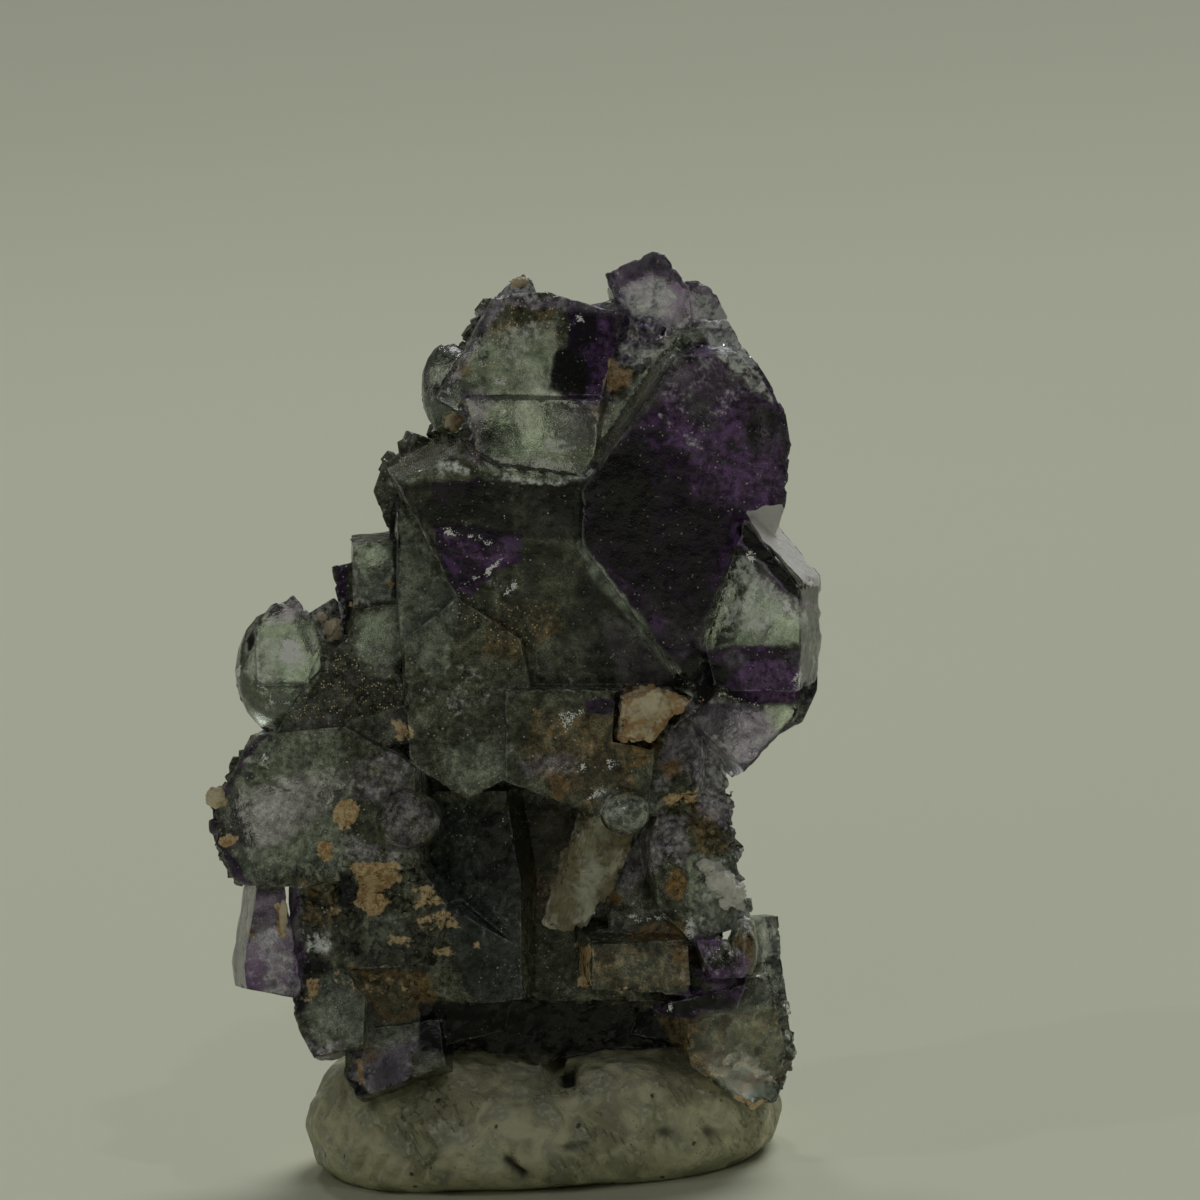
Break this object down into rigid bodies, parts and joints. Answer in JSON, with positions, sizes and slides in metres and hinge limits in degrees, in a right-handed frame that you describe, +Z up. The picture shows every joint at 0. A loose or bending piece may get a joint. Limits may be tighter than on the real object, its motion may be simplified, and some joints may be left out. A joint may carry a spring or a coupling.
{
  "type": "fluorite crystal cluster",
  "caption": "Cluster of intergrown cubic fluorite crystals, purple and green, held upright by a pressed lump of putty.",
  "frame": {"origin": "middle of the putty's flat base, on the surface that it stands on", "axes": "+Z up, the side that the picture shows faces -Y, +X to the right as seen from the front"},
  "size_m": [0.0207, 0.0153, 0.0304],
  "materials": {
    "fluorite": "glassy faces, zoned purple and green",
    "pale_lath": "dull, whitish with rust stains",
    "tan_grain": "dull, tan",
    "putty": "matte, off-white with dark specks"
  },
  "bodies": {
    "root": {"fluorite_cluster": "fluorite", "pale_lath": "pale_lath", "tan_wedge": "tan_grain", "putty_lump": "putty"}
  },
  "joints": []
}
